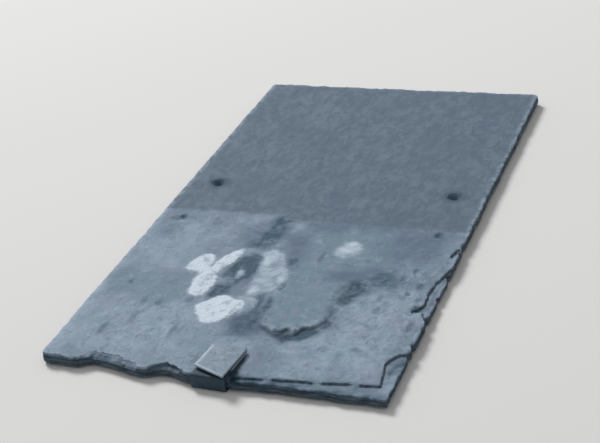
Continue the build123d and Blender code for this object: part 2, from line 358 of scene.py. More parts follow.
def crust_distance(x, y, outlines, seed):
    """Signed distance into the nearest of some lobed crusts, in millimetres."""
    distances = [outline_distance(x, y, rounded(outline)) for outline in outlines]
    return np.max(distances, axis=0) + 0.4 + cloud(x, y, 7.0, 3, seed) * 1.3


def soft_regions(x, y, regions, seed):
    """The strongest of some outlined regions, whose soft rims are warped by noise."""
    warped_x = x + cloud(x, y, 16.0, 4, seed) * 4.0
    warped_y = y + cloud(x, y, 16.0, 4, seed + 7) * 5.0
    total = np.zeros(x.shape)
    for strength, softness, outline in regions:
        inside = ease(-softness, softness, outline_distance(warped_x, warped_y, outline))
        total = np.maximum(total, strength * inside)
    return total


def small_marks(x, y):
    """How dark and how deep the small marks are: ellipses with ragged rims."""
    dark = np.zeros(x.shape)
    deep = np.zeros(x.shape)
    ragged = cloud(x, y, 4.0, 2, 91) * 0.35
    for middle_x, middle_y, half_width, half_length, strength, depth in MARKS:
        reach = np.hypot((x - middle_x) / half_width, (y - middle_y) / half_length) + ragged
        dark = np.maximum(dark, strength * (1.0 - ease(0.5, 1.5, reach)))
        deep = np.maximum(deep, depth * (1.0 - ease(0.1, 1.1, reach)))
    return dark, deep


def lost_stone(x, y):
    """Signed distances into the tail's lost layer, the corner below it, the side flake and the slit."""
    ragged = cloud(x, y, 13.0, 4, 31)
    tail = outline_distance(x, y, TAIL_LOSS) + ragged * 0.9
    corner = outline_distance(x, y, CORNER_LOSS) + ragged * 0.8
    flake = outline_distance(x, y, SIDE_FLAKE) + cloud(x, y, 9.0, 3, 41) * 1.2
    slit = outline_distance(x, y, SIDE_SLIT) + cloud(x, y, 6.0, 2, 45) * 0.6
    return tail, corner, flake, slit


def bridges(x, y):
    """1 where the edge of the tail's lost layer fades out, 0 elsewhere."""
    return sum(np.exp(-(((x - middle) / 2.2) ** 4)) for middle in TAIL_BRIDGES) * (y < 20.0)


def raised_edge(x, y):
    """Signed distance into the smooth raised patch, toothed by noise along its rim."""
    return outline_distance(x, y, RAISED_PATCH) + cloud(x, y, 6.0, 3, 51) * 1.2


def rim_spread(y):
    """How wide the patch's rim slopes: 1 at its crisp lower end, more up its softer sides."""
    return 1.0 + 2.5 * ease(78.0, 96.0, y)


def rim_window(x, y):
    """1 beside the patch's lower rim and the foot of its right side, 0 away from them."""
    low_rim = ease(50.0, 60.0, y) * (1.0 - ease(84.0, 112.0, y)) * ease(138.0, 144.0, x)
    side_rim = ease(104.0, 114.0, y) * (1.0 - ease(134.0, 146.0, y)) * ease(172.0, 178.0, x)
    return np.maximum(low_rim, 0.7 * side_rim) * (1.0 - ease(190.0, 200.0, x))


def riven_relief(x, y, rough, smooth):
    """Split face of the stone: waves, broken terraces and pimples, calmer on the smooth patch."""
    lean = x + 0.22 * y
    waves = cloud(x, y * 0.6, 95.0, 3, 1) * 0.5
    warp = cloud(x, y, 30.0, 3, 3) * 9.0
    layers = terraces(cloud(lean + warp, y * 0.55, 46.0, 5, 5) * 1.8, 5, 0.16) * 0.55
    flakes = terraces(cloud(lean + warp, y * 0.6, 15.0, 4, 7) * 1.6, 4, 0.3) * (0.14 + 0.2 * rough)
    pimples = cloud(x, y * 0.8, 11.0, 4, 11, 0.6) * (0.26 + 0.34 * rough)
    return waves + (layers + flakes + pimples) * (1.0 - 0.75 * smooth)


def patch_relief(x, y, size):
    """The raised patch's step up, less the hollows under its rim and at the foot of its right side."""
    patch = raised_edge(x, y)
    spread = rim_spread(y)
    fade = (1.0 - ease(120.0, 175.0, y)) * (1.0 - 0.65 * ease(84.0, 108.0, y))
    step = ease(-0.5 * spread, 1.4 * spread, patch) * fade * PATCH_STEP
    under = np.exp(-np.maximum(-patch, 0.0) / 7.0) * (1.0 - ease(-0.5 * spread, spread, patch))
    foot = outline_distance(x, y, SIDE_HOLLOW) + cloud(x, y, 12.0, 3, 61) * 2.0
    scallop = under * rim_window(x, y) * size.scallop_depth / MM
    return step - scallop - ease(-3.0, 6.0, foot) * SIDE_HOLLOW_DEPTH


def loss_depth(x, y, size):
    """How deep the face is broken away: the tail's layer and corner, the side flake and the slit."""
    tail, corner, flake, slit = lost_stone(x, y)
    blur = 0.45 + 4.5 * bridges(x, y)
    layers = ease(-blur, blur, tail) + ease(-0.5, 0.5, corner) * 0.55
    deeper = flake - 3.0 + cloud(x, y, 14.0, 2, 71) * 2.0
    side = (ease(-0.5, 0.5, flake) * 0.75 + ease(-0.5, 0.5, deeper) * 0.35) * ease(99.0, 121.0, y)
    depth = layers * size.layer_step_depth + side * size.flake_depth
    return depth / MM + ease(-0.4, 1.0, slit) * SLIT_DEPTH


def crust_height(x, y):
    """How thick the lichen lies: lumpy, and thinner towards its rims."""
    lumps = 0.7 + 0.45 * cloud(x, y, 4.0, 3, 87)
    white = ease(-0.6, 2.4, crust_distance(x, y, WHITE_LICHEN, WHITE_LICHEN_SEED))
    grey = ease(-0.6, 2.4, crust_distance(x, y, GREY_LICHEN, GREY_LICHEN_SEED))
    return (white * WHITE_LICHEN_HEIGHT + grey * GREY_LICHEN_HEIGHT) * lumps


def spall_depth(x, y):
    """Stepped cones that the punch broke out of the face round the two nail holes."""
    depth = 0.0
    for hole_x in (NAIL_INSET, WIDTH - NAIL_INSET):
        away = np.hypot(x - hole_x, y - NAIL_ROW)
        flare = SPALL_RADIUS * (1.0 + 0.2 * cloud(x, y, 11.0, 3, 95))
        cone = np.clip((flare - away) / (flare - NAIL_RADIUS), 0.0, 1.0)
        depth = depth + terraces(cone**1.25, 5, 0.45) * SPALL_DEPTH
    return depth


def face_height(x, y, size):
    """Height of the weathered face above the bed: the riven level with each relief added or taken."""
    smooth = ease(-2.0, 6.0, raised_edge(x, y)) * (1.0 - ease(170.0, 225.0, y))
    rough = soft_regions(x, y, ROUGH, ROUGH_SEED)
    height = THICKNESS - FACE_DROP + riven_relief(x, y, rough, smooth) * size.riven_height
    height = height + patch_relief(x, y, size) + crust_height(x, y)
    return height - loss_depth(x, y, size) - small_marks(x, y)[1] - spall_depth(x, y)


def strip_place(x, y):
    """Distance across the strip from its middle, and along it from the tail, of a place on the slate."""
    side, up = x - STRIP_MIDDLE[0], y - STRIP_MIDDLE[1]
    across = side * math.cos(STRIP_TURN) - up * math.sin(STRIP_TURN)
    return across, side * math.sin(STRIP_TURN) + up * math.cos(STRIP_TURN) + STRIP_MIDDLE[1]


def bed_height(x, y):
    """The underside: plane under the strip, with shallow split hollows elsewhere."""
    hollow = np.clip(cloud(x, y * 0.5, 60.0, 4, 141) + 0.15, 0.0, 1.0)
    across, along = strip_place(x, y)
    clear = ease(STRIP_WIDTH / 2, STRIP_WIDTH / 2 + 6.0, np.abs(across))
    clear = np.maximum(clear, ease(STRIP_BACK, STRIP_BACK + 6.0, along))
    return terraces(hollow, 4, 0.25) * 1.1 * clear


def rim_cells(bottom, top, left, right):
    """Row and column of each point round a block of a grid, anticlockwise from its lower left."""
    across = np.arange(left, right)
    up = np.arange(bottom, top)
    rows = np.concatenate([across * 0 + bottom, up, across * 0 + top, up[::-1] + 1])
    columns = np.concatenate([across, up * 0 + right, across[::-1] + 1, up * 0 + left])
    return rows, columns


def coons(rim, up, across):
    """A grid of points inside a closed rim: the two ruled sheets less the corner sheet."""
    rows = len(up) - 1
    columns = len(across) - 1
    tail = rim[: columns + 1]
    right = rim[columns : columns + rows + 1]
    head = rim[columns + rows : 2 * columns + rows + 1][::-1]
    left = np.concatenate([rim[2 * columns + rows :], rim[:1]])[::-1]
    u = across[None, :, None]
    v = up[:, None, None]
    ruled_up = (1 - v) * tail[None] + v * head[None]
    ruled_across = (1 - u) * left[:, None] + u * right[:, None]
    corners = (1 - u) * (1 - v) * tail[0] + u * (1 - v) * tail[-1]
    return ruled_up + ruled_across - corners - (1 - u) * v * head[0] - u * v * head[-1]


def closed_shell(top, walls, bottom, step, holes):
    """A closed skin: a top grid, wall loops, and a bottom grid with a point for every step-th of theirs.

    A hole is (block, rings): the block of top cells it takes out, as rows then columns,
    and the loops that lead from the block's rim through the plate to its underside.
    """
    grids = []
    parts = []
    count = 0
    for points in [top, walls, bottom] + [rings for _, rings in holes]:
        parts.append(points.reshape(-1, points.shape[-1]))
        grids.append(count + np.arange(parts[-1].shape[0]).reshape(points.shape[:-1]))
        count += parts[-1].shape[0]
    grid, wall_rings, under = grids[:3]
    faces = []

    def cells(points, blocks, order):
        """A face for each cell of a grid that is in none of the blocks."""
        kept = np.ones((points.shape[0] - 1, points.shape[1] - 1), dtype=bool)
        for low_row, high_row, low_column, high_column in blocks:
            kept[low_row:high_row, low_column:high_column] = False
        row, column = np.nonzero(kept)
        corners = [points[row + up, column + across] for across, up in order]
        faces.append(np.stack(corners, axis=-1))

    def bands(block, coarse_block, rings, turn):
        """Bands of faces from a block's rim through its rings to the coarser rim underneath."""
        loop = grid[rim_cells(*block)]
        for ring in rings:
            band = np.stack([loop, np.roll(loop, -1), np.roll(ring, -1), ring], axis=-1)
            faces.append(band[:, ::turn])
            loop = ring
        edge = under[rim_cells(*coarse_block)]
        fine = loop.reshape(-1, step)
        ahead = np.roll(fine[:, 0], -1)
        faces.append(np.column_stack([fine, ahead, np.roll(edge, -1), edge])[:, ::turn])

    blocks = [block for block, _ in holes]
    coarse_blocks = [[edge // step for edge in block] for block in blocks]
    cells(grid, blocks, ((0, 0), (1, 0), (1, 1), (0, 1)))
    cells(under, coarse_blocks, ((0, 0), (0, 1), (1, 1), (1, 0)))
    whole = (0, grid.shape[0] - 1, 0, grid.shape[1] - 1)
    coarse_whole = (0, under.shape[0] - 1, 0, under.shape[1] - 1)
    bands(whole, coarse_whole, wall_rings, -1)
    for block, coarse_block, rings in zip(blocks, coarse_blocks, grids[3:]):
        bands(block, coarse_block, rings, 1)
    used = np.zeros(count, dtype=bool)
    for group in faces:
        used[group] = True
    renumber = np.cumsum(used) - 1
    polygons = [face for group in faces for face in renumber[group].tolist()]
    return np.concatenate(parts)[used], polygons


def place(points):
    """Millimetres from the slate's left side, tail and bed, as metres in the frame."""
    return points[..., :3] * MM + np.array(slate_low[:])


def add_object(name, data):
    """An object with this mesh, lamp or camera, in the scene."""
    thing = bpy.data.objects.new(name, data)
    bpy.context.scene.collection.objects.link(thing)
    return thing


def add_piece(name, points, polygons, sharp_degrees):
    """A finished mesh in the frame, smooth but for its sharp edges, riding on the body."""
    mesh = bpy.data.meshes.new(name)
    mesh.from_pydata(place(points), [], polygons)
    mesh.validate()
    mesh.update()
    mesh.shade_smooth()
    mesh.set_sharp_from_angle(angle=math.radians(sharp_degrees))
    piece = add_object(name, mesh)
    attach(piece, "root")
    return piece


def paint(mesh, masks):
    """Numbers at each point of a mesh, which its material reads by name."""
    for name, values in masks.items():
        layer = mesh.attributes.new(name, "FLOAT", "POINT")
        layer.data.foreach_set("value", values.astype(np.float32))


def corner_arc(distance, radius):
    """How far a rounded corner draws in a side, at a distance along it from the square corner."""
    inside = np.clip(radius - distance, 0.0, radius)
    return radius - np.sqrt(radius**2 - inside**2)


# Grid of the face: cells across, cells up, and how many of those up lie on the part that shows.
# Then face cells to a bed cell each way, split layers down the edge, and the bed grid's inset.
COLUMNS = 210
ROWS = 306
EXPOSED_ROWS = 200
COARSE_STEP = 3
WALL_LAYERS = 8
BED_BORDER = 2.5

# Sides of the slate in the order of its rim, how far breaks draw each in and how wide its bevel is
TAIL, RIGHT, HEAD, LEFT = range(4)
SIDE_RAGGED = np.array([0.8, 0.9, 0.9, 0.3])
LEFT_TAIL_RAGGED = 0.75
SIDE_BEVEL = np.array([1.0, 0.7, 1.0, 0.5])
BEVEL_FOOT = 0.48


def slate_spacing():
    """Shares of the width and length where grid lines run, closer over the uncovered part."""
    across = np.linspace(0.0, 1.0, COLUMNS + 1)
    exposed_share = (EXPOSED_LEFT + 12.0) / LENGTH
    line = np.arange(ROWS + 1)
    up = np.interp(line, (0, EXPOSED_ROWS, ROWS), (0.0, exposed_share, 1.0))
    return across, up


def tail_rise(x):
    """Distance of the tail line from the end of the slate, at a distance across."""
    return np.interp(x, *zip(*TAIL_LINE))


def slate_rim(across, up):
    """Outline of the slate without its raggedness, and the inward direction at each point."""
    turn = 1.0 - 1.0 / math.sqrt(2.0)
    low_left = LEFT_CORNER_ROUND * turn
    low_right = RIGHT_CORNER_ROUND * turn
    high = HEAD_CORNER_ROUND * turn

    def side_points(corner_radius, corner_cut, foot):
        y = foot + corner_cut + up * (LENGTH - high - foot - corner_cut)
        inset = corner_arc(y - foot, corner_radius) + corner_arc(LENGTH - y, HEAD_CORNER_ROUND)
        return inset, y

    x = low_left + across * (WIDTH - low_left - low_right)
    y = tail_rise(x) + corner_arc(x, LEFT_CORNER_ROUND) + corner_arc(WIDTH - x, RIGHT_CORNER_ROUND)
    tail = np.stack([x, y], axis=-1)
    x = high + across * (WIDTH - 2 * high)
    y = LENGTH - corner_arc(x, HEAD_CORNER_ROUND) - corner_arc(WIDTH - x, HEAD_CORNER_ROUND)
    head = np.stack([x, y], axis=-1)
    inset, y = side_points(RIGHT_CORNER_ROUND, low_right, tail[-1, 1] - low_right)
    right = np.stack([WIDTH - inset, y], axis=-1)
    inset, y = side_points(LEFT_CORNER_ROUND, low_left, tail[0, 1] - low_left)
    left = np.stack([inset, y], axis=-1)
    rim = np.concatenate([tail[:-1], right[:-1], head[:0:-1], left[:0:-1]])
    along = np.roll(rim, -2, axis=0) - np.roll(rim, 2, axis=0)
    along /= np.linalg.norm(along, axis=1, keepdims=True)
    inward = np.stack([-along[:, 1], along[:, 0]], axis=-1)
    return rim, inward


def tail_chips(x):
    """Extra width of the chips along the tail, and how square their steps are."""
    width = np.zeros(x.shape)
    square = np.zeros(x.shape)
    for middle, half_length, extra, stepped in TAIL_CHIPS:
        share = 1.0 - ease(0.55, 1.0, np.abs(x - middle) / half_length)
        width = np.maximum(width, extra * share)
        square = np.maximum(square, stepped * share)
    return width, square


def edge_breaks(x, y, size):
    """How far breaks draw in the outline and how wide the struck bevel is, at points of the rim."""
    side = np.repeat([TAIL, RIGHT, HEAD, LEFT], [COLUMNS, ROWS, COLUMNS, ROWS])
    left_tail = (side == TAIL) & (x < STRIP_MIDDLE[0])
    outline = np.abs(cloud(x, y, 7.0, 3, 101)) * 1.4 + 0.5 + 0.5 * cloud(x, y, 38.0, 2, 105)
    outline = outline * np.where(left_tail, LEFT_TAIL_RAGGED, SIDE_RAGGED[side])
    for middle, depth, half_length in SIDE_BITES:
        bite = depth * np.exp(-(((y - middle) / half_length) ** 2))
        outline = outline + np.where(side == RIGHT, bite, 0.0)
    bites = np.abs(cloud(x, y, 17.0, 2, 111)) + 0.4 * np.abs(cloud(x, y, 5.5, 2, 113))
    bevel = (0.9 + 3.0 * bites) * SIDE_BEVEL[side]
    bevel = bevel + np.where(left_tail, np.abs(cloud(x, y, 6.5, 2, 107)) * 3.4, 0.0)
    extra, square = np.where(side == TAIL, tail_chips(x), 0.0)
    bevel = bevel * size.dressing_width / (DRESSING_WIDTH * MM) + extra
    return outline * size.edge_raggedness, bevel, extra, square


def slate_walls(rim, inward, size):
    """Loops down the slate's edge: a spalled bevel by the face, then ledges of split layers."""
    x, y = rim.T
    outline, bevel, extra, square = edge_breaks(x, y, size)
    depths = np.repeat(np.arange(WALL_LAYERS + 1), 2)[1:-1] / WALL_LAYERS
    layers = np.repeat(np.arange(WALL_LAYERS), 2)
    foot = BEVEL_FOOT - 0.14 * (extra > 1.0)
    walls = []
    for depth, layer in zip(depths, layers):
        slope = np.clip(1.0 - depth / foot, 0.0, 1.0) ** 1.15
        step = 1.0 * (depth < foot)
        ledge = 0.5 + 0.6 * cloud(x + 41.0 * layer, y - 23.0 * layer, 17.0, 5, 121 + layer, 0.65)
        ledge = ledge * (0.2 + 0.8 * min(1.0, 3.0 * depth)) * 1.4
        overhang = 0.5 * max(0.0, depth - 0.8) / 0.2
        inset = outline + bevel * (slope * (1.0 - square) + step * square) + ledge + overhang
        walls.append(rim + inward * inset[:, None])
    face = face_height(*walls[0].T, size) - 0.2
    bed = bed_height(*walls[-1].T)
    rings = []
    for point, depth in zip(walls, depths):
        warp = cloud(*point.T, 34.0, 3, 131) * 0.7 * math.sin(math.pi * depth)
        height = face * (1.0 - depth) + bed * depth + warp
        rings.append(np.column_stack([point, height, height * 0.0 + depth]))
    return np.stack(rings)


def nail_hole(hole_x, top, size):
    """Rings from a block of the face grid down a spalled cone and bore to the bed."""
    centre = np.array([hole_x, NAIL_ROW])
    row = np.interp(NAIL_ROW, top[:, COLUMNS // 2, 1], np.arange(ROWS + 1)) / COARSE_STEP
    column = np.interp(hole_x, top[ROWS // 2, :, 0], np.arange(COLUMNS + 1)) / COARSE_STEP
    row = int(round(row)) * COARSE_STEP
    column = int(round(column)) * COARSE_STEP
    block = (row - 6, row + 6, column - 9, column + 9)
    edge = top[rim_cells(*block)][:, :2]
    circle = ring_round(centre, edge, NAIL_RADIUS)
    rings = []
    for share in np.linspace(0.0, 1.0, 15)[1:]:
        flat = edge * (1.0 - share) + circle * share
        height = face_height(*flat.T, size)
        rings.append(np.column_stack([flat, height, height * 0.0]))
    throat = rings[-1][:, 2]
    bed = bed_height(*circle.T)
    for share in (0.35, 0.7, 1.0):
        height = throat * (1.0 - share) + bed * share
        rings.append(np.column_stack([circle, height, height * 0.0 + share]))
    return block, np.stack(rings)


def ring_round(centre, edge, radius):
    """Points of a circle that lie in the same directions from its centre as the points of an edge."""
    away = edge - centre
    return centre + radius * away / np.linalg.norm(away, axis=1, keepdims=True)


def covered_share(x, y):
    """1 on the head that the next course covers, with a ragged line at its lower end."""
    top = np.where(x < EXPOSED_JOINT, EXPOSED_LEFT, EXPOSED_RIGHT)
    ragged = cloud(x, y * 0.0, 25.0, 3, 151) * 2.0 - cloud(x, y, 9.0, 3, 153) * 3.0
    return ease(-3.0, 5.0, y - top - ragged)


def slate_masks(points):
    """What the stone's material reads at each point: stains, crusts and broken stone."""
    x, y, z, depth = points.T
    on_face = (z > THICKNESS * 0.4) & (depth < 0.3)
    covered = covered_share(x, y)
    open_face = np.where(on_face, 1.0 - covered, 0.0)
    tail, corner, flake, slit = lost_stone(x, y)
    steps = np.maximum(np.maximum(tail, corner), np.where(y > 104.0, flake, OUTSIDE))
    patch = raised_edge(x, y)
    spread = rim_spread(y)
    window = rim_window(x, y)
    # Light band on the patch's lower rim: painted highlight with edge wear
    rim_highlight_and_crust = ease(0.0, 1.5, patch) * (1.0 - ease(3.0, 9.0, patch)) * window
    # Painted shade under the raised patch's rim, fading within a few millimetres below it
    shade_under_rim = 1.0 - ease(-0.6 * spread, 0.8 * spread, patch)
    shade_under_rim = shade_under_rim * np.exp(np.minimum(patch, 0.0) / 3.0) * window
    nails = np.hypot(np.minimum(np.abs(x - NAIL_INSET), np.abs(x - WIDTH + NAIL_INSET)), y - NAIL_ROW)
    from_tail = y - tail_rise(x)
    from_rim = np.minimum(np.minimum(x, WIDTH - x), np.minimum(from_tail, LENGTH - y))
    chip = ease(1.0, 3.0, np.where((y < 30.0) & (depth < 0.55), tail_chips(x)[0], 0.0))
    start = 0.08 + 0.27 * chip
    whole = (1.0 - chip) * (1.0 - ease(-1.5, 0.0, steps))
    uneven = cloud(x, y, 5.0, 2, 195) * 0.06 * (depth > 0.0)
    bed = (depth >= 1.0) * ease(0.5, 4.0, from_rim)
    # The lost layer along the tail is painted darker towards the tail
    fading = 1.0 - ease(-1.0, 10.0, from_tail + cloud(x, y, 14.0, 3, 199) * 4.0)
    stains = np.maximum(soft_regions(x, y, DAMP_AND_SHADE, STAIN_SEED), small_marks(x, y)[0])
    stains = np.maximum(stains, fading * ease(-1.0, 0.6, tail) * 0.85)
    faint_crust_and_highlight = soft_regions(x, y, FAINT_CRUST_AND_HIGHLIGHT, STAIN_SEED)
    rough = soft_regions(x, y, ROUGH, ROUGH_SEED)
    masks = {
        # The chipped bevels along the tail are darkened as painted shade
        "damp_and_shade": np.maximum(stains * open_face, chip * ease(0.0, 0.05, depth) * 0.75),
        "rough": 0.25 + 0.75 * rough * open_face,
        "covered": np.where(on_face, covered, bed),
        "lost_layer": np.where(on_face, np.maximum(steps, slit), OUTSIDE) * (1.0 + 8.0 * bridges(x, y)),
        "rim_highlight_and_crust": np.maximum(rim_highlight_and_crust, faint_crust_and_highlight) * open_face,
        "shade_under_rim": shade_under_rim * open_face,
        # Paler band along the arrises: edge wear and painted highlight
        "arris_wear_and_highlight": np.where(on_face, 1.0 - ease(2.0, 7.0, from_rim), 0.0) * whole,
        "nail_stain": np.where(on_face, 1.0 - ease(6.0, 14.0, nails), 0.0),
        # The broken edges take a dark colour as painted shade
        "broken_in_shade": ease(start, start + 0.16, depth + uneven) * (1.0 - bed),
    }
    for name, outlines, seed in (
        ("white_lichen", WHITE_LICHEN, WHITE_LICHEN_SEED),
        ("grey_lichen", GREY_LICHEN, GREY_LICHEN_SEED),
    ):
        masks[name] = np.where(on_face, crust_distance(x, y, outlines, seed), OUTSIDE)
    for name, regions, seed in (
        ("dirt_and_shadow", DIRT_AND_SHADOW, STAIN_SEED),
        ("violet", VIOLET, VIOLET_SEED),
        ("green", GREEN, GREEN_SEED),
        ("bleach_and_highlight", BLEACH_AND_HIGHLIGHT, BLEACH_SEED),
    ):
        masks[name] = soft_regions(x, y, regions, seed) * open_face
    return masks


class NodeTools:
    """Short ways to add nodes to a shader tree, most of which give back the socket they put out."""

    def __init__(self, tree):
        self.tree = tree

    def put(self, socket, value):
        """Link an input to another node's output, or set it to a plain value."""
        if isinstance(value, bpy.types.NodeSocket):
            self.tree.links.new(value, socket)
        else:
            socket.default_value = value

    def add(self, kind, inputs, **settings):
        """A node with its settings, then its inputs by name or by place."""
        node = self.tree.nodes.new(kind)
        for key, value in settings.items():
            setattr(node, key, value)
        for key, value in inputs.items():
            self.put(node.inputs[key], value)
        return node

    def group(self, name, inputs):
        """The outputs of a node group that is placed with its own values."""
        return self.add("ShaderNodeGroup", inputs, node_tree=bpy.data.node_groups[name]).outputs

    def noise(self, vector, scale, detail, roughness, distortion=0.0):
        """Fractal noise about 0.5, with so many features to the metre."""
        values = {"Scale": scale, "Detail": detail, "Roughness": roughness, "Distortion": distortion}
        return self.add("ShaderNodeTexNoise", {"Vector": vector, **values}).outputs["Fac"]

    def maths(self, operation, *values):
        """One operation on one to three values."""
        return self.add("ShaderNodeMath", dict(enumerate(values)), operation=operation).outputs[0]

    def times(self, first, second):
        """The product of two values."""
        return self.maths("MULTIPLY", first, second)

    def times_plus(self, first, second, third):
        """The product of two values plus a third."""
        return self.maths("MULTIPLY_ADD", first, second, third)

    def rise(self, value, low, high, start=0.0, end=1.0):
        """A smooth S from start, where the value is low, to end, where it is high."""
        inputs = dict(enumerate((value, low, high, start, end)))
        return self.add("ShaderNodeMapRange", inputs, interpolation_type="SMOOTHSTEP").outputs["Result"]

    def mix(self, factor, first, second):
        """The first colour where the factor is 0 and the second where it is 1."""
        return self.add("ShaderNodeMix", {0: factor, 6: first, 7: second}, data_type="RGBA").outputs[2]

    def stretch(self, vector, scale, turn=0.0):
        """Coordinates turned about z and scaled along each axis."""
        inputs = {"Vector": vector, "Scale": scale, "Rotation": (0.0, 0.0, turn)}
        return self.add("ShaderNodeMapping", inputs).outputs["Vector"]

    def read(self, name):
        """The numbers that paint() stored on the mesh under this name."""
        return self.add("ShaderNodeAttribute", {}, attribute_name=name).outputs["Fac"]

    def bump(self, height, strength):
        """A normal from a height in metres."""
        inputs = {"Height": height, "Strength": strength, "Distance": 1.0}
        return self.add("ShaderNodeBump", inputs).outputs["Normal"]


def new_group(name, numbers, outputs):
    """A shader node group that takes a Vector and some numbers, with its tools and both its ends."""
    tree = bpy.data.node_groups.new(name, "ShaderNodeTree")
    tree.interface.new_socket(name="Vector", in_out="INPUT", socket_type="NodeSocketVector")
    for label, default in numbers.items():
        socket = tree.interface.new_socket(name=label, in_out="INPUT", socket_type="NodeSocketFloat")
        socket.default_value = default
    for label in outputs:
        tree.interface.new_socket(name=label, in_out="OUTPUT", socket_type="NodeSocketFloat")
    given = tree.nodes.new("NodeGroupInput").outputs
    result = tree.nodes.new("NodeGroupOutput").inputs
    return NodeTools(tree), given, result


# Features to the metre, detail, roughness and distortion of each kind of mottle
MOTTLES = {
    "Broad": (23.0, 5.0, 0.6, 0.5),
    "Patches": (62.0, 6.0, 0.62, 0.6),
    "Middle": (135.0, 5.0, 0.65, 0.4),
    "Speckle": (560.0, 3.0, 0.6, 0.0),
    "Cast": (88.0, 4.0, 0.6, 0.7),
}


def make_mottle_group():
    """Mottles at four sizes for stone and metal, and the stone's slow change of cast."""
    nodes, given, result = new_group("mottle", {"Size": 1.0}, MOTTLES)
    inputs = {"Vector": given["Vector"], "Scale": given["Size"]}
    vector = nodes.add("ShaderNodeVectorMath", inputs, operation="SCALE").outputs[0]
    for label, values in MOTTLES.items():
        nodes.put(result[label], nodes.noise(vector, *values))


def make_crust_group():
    """Lichen: a ragged mask from a signed distance, its grainy height and its thin outer halo."""
    numbers = {"Distance": 0.0, "Raggedness": 2.0, "Softness": 1.2}
    nodes, given, result = new_group("crust", numbers, ["Mask", "Halo", "Grain"])
    edge = nodes.maths("SUBTRACT", nodes.noise(given["Vector"], 260.0, 6.0, 0.7), 0.5)
    moved = nodes.times_plus(edge, nodes.times(given["Raggedness"], 2.0), given["Distance"])
    mask = nodes.rise(moved, nodes.times(given["Softness"], -1.0), given["Softness"])
    beyond = nodes.maths("SUBTRACT", 1.0, mask)
    lumps = nodes.add("ShaderNodeTexVoronoi", {"Vector": given["Vector"], "Scale": 520.0})
    grain = nodes.maths("SUBTRACT", 1.0, lumps.outputs["Distance"])
    nodes.put(result["Mask"], mask)
    nodes.put(result["Halo"], nodes.times(nodes.rise(moved, -4.2, 0.2), beyond))
    nodes.put(result["Grain"], nodes.times(grain, mask))


def make_relief_group():
    """Grain of the split stone as a height: slight fibres up the slate, flakes and grit."""
    nodes, given, result = new_group("riven relief", {}, ["Height", "Streaks"])
    along = nodes.stretch(given["Vector"], (1.0, 0.55, 1.0), math.radians(-14.0))
    fibres = nodes.noise(along, 330.0, 5.0, 0.62, 0.3)
    flakes = nodes.noise(along, 105.0, 7.0, 0.66, 0.8)
    steps = nodes.rise(nodes.maths("PINGPONG", nodes.times(flakes, 6.0), 1.0), 0.2, 0.75)
    grit = nodes.noise(given["Vector"], 1400.0, 3.0, 0.6)
    height = nodes.times_plus(fibres, 0.3, nodes.times(steps, 0.4))
    nodes.put(result["Height"], nodes.times_plus(grit, 0.22, height))
    nodes.put(result["Streaks"], nodes.noise(along, 150.0, 6.0, 0.62, 0.6))


def new_material(name):
    """A material with its tools, its Principled shader's inputs and its Object coordinates."""
    material = bpy.data.materials.new(name)
    material.use_nodes = True
    tree = material.node_tree
    vector = tree.nodes.new("ShaderNodeTexCoord").outputs["Object"]
    return material, NodeTools(tree), tree.nodes["Principled BSDF"].inputs, vector


def colour(value):
    """An RGB property as the four numbers that a colour socket takes."""
    return (*value, 1.0)


class Coats:
    """A colour built up in coats, each mixed over the last where its factor is high."""

    def __init__(self, nodes, shades, first):
        self.nodes = nodes
        self.shades = shades
        self.result = colour(getattr(shades, first))

    def lay(self, factor, coat, strength=1.0):
        """Mix in a shade by its name, or other coats."""
        over = coat.result if isinstance(coat, Coats) else colour(getattr(self.shades, coat))
        self.result = self.nodes.mix(self.nodes.times(factor, strength), self.result, over)


def lay_weathering(stone, mottle, streaks):
    """Mottles, streaks and casts of the open face, and its outlined regions with uneven strength."""
    nodes = stone.nodes
    middle, patches, cast = mottle["Middle"], mottle["Patches"], mottle["Cast"]
    rough = nodes.read("rough")
    wave = nodes.maths("ADD", nodes.maths("ADD", patches, middle), nodes.times(streaks, 0.6))
    wave = nodes.maths("SUBTRACT", wave, 1.3)

    def lay_region(name, shade, unevenness, strength):
        patchy = nodes.times(nodes.read(name), nodes.times_plus(wave, unevenness, 1.0))
        stone.lay(nodes.add("ShaderNodeClamp", {"Value": patchy}).outputs[0], shade, strength)

    # Lighter regions, with the painted highlight along the left edge
    lay_region("bleach_and_highlight", "bleached", 2.2, 1.0)
    stone.lay(nodes.rise(mottle["Broad"], 0.50, 0.68), "violet", 0.42)
    stone.lay(nodes.rise(patches, 0.54, 0.66), "violet", 0.45)
    stone.lay(nodes.rise(patches, 0.46, 0.35), "bleached", 0.7)
    lay_region("green", "green_grey", 1.2, 0.9)
    stone.lay(nodes.rise(middle, 0.54, 0.68), "pale", 0.45)
    stone.lay(nodes.rise(middle, 0.46, 0.34), "violet", 0.6)
    stone.lay(nodes.times(nodes.rise(streaks, 0.47, 0.36), rough), "violet", 0.52)
    stone.lay(nodes.times(nodes.rise(streaks, 0.54, 0.66), rough), "pale", 0.4)
    stone.lay(nodes.read("bleach_and_highlight"), "pale", 0.14)
    stone.lay(nodes.rise(cast, 0.51, 0.62), "green_cast", 0.4)
    stone.lay(nodes.rise(cast, 0.49, 0.38), "violet_cast", 0.4)
    lay_region("violet", "violet", 1.8, 0.9)
    lay_region("damp_and_shade", "damp_and_shade", 2.4, 0.97)
    # Darkest regions, with the painted shadows of the clip and of the patch's rim
    lay_region("dirt_and_shadow", "soot_and_shadow", 1.0, 0.9)


